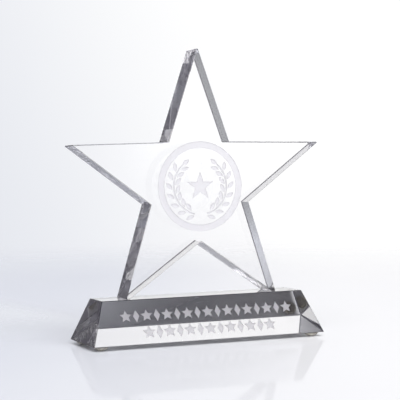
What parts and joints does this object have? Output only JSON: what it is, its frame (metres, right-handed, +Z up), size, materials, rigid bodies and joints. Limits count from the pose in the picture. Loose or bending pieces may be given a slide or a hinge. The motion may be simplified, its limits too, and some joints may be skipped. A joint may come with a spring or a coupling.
{
  "type": "star trophy",
  "caption": "Clear crystal star award: a thick star plate stands on two cut points on a bevelled crystal base with clear bumpers, engraved with a wreath emblem and an ornament frieze.",
  "frame": {"origin": "on the table plane, under the middle of the base", "axes": "+Z up, +X along the base towards the viewer's right, -Y towards the engraved front"},
  "size_m": [0.1826, 0.0544, 0.2032],
  "materials": {
    "star_crystal": "polished optical crystal, frosted where engraved",
    "base_crystal": "polished optical crystal, frosted where engraved",
    "cured_adhesive": "clear cured film",
    "clear_rubber": "clear polyurethane, slightly yellowed",
    "pressure_adhesive": "clear pressure-sensitive layer"
  },
  "bodies": {
    "root": {"star_plate": "star_crystal", "base_block": "base_crystal", "left_bond": "cured_adhesive", "right_bond": "cured_adhesive", "front_left_bumper": "clear_rubber", "front_right_bumper": "clear_rubber", "back_left_bumper": "clear_rubber", "back_right_bumper": "clear_rubber", "front_left_backing": "pressure_adhesive", "front_right_backing": "pressure_adhesive", "back_left_backing": "pressure_adhesive", "back_right_backing": "pressure_adhesive"}
  },
  "joints": []
}
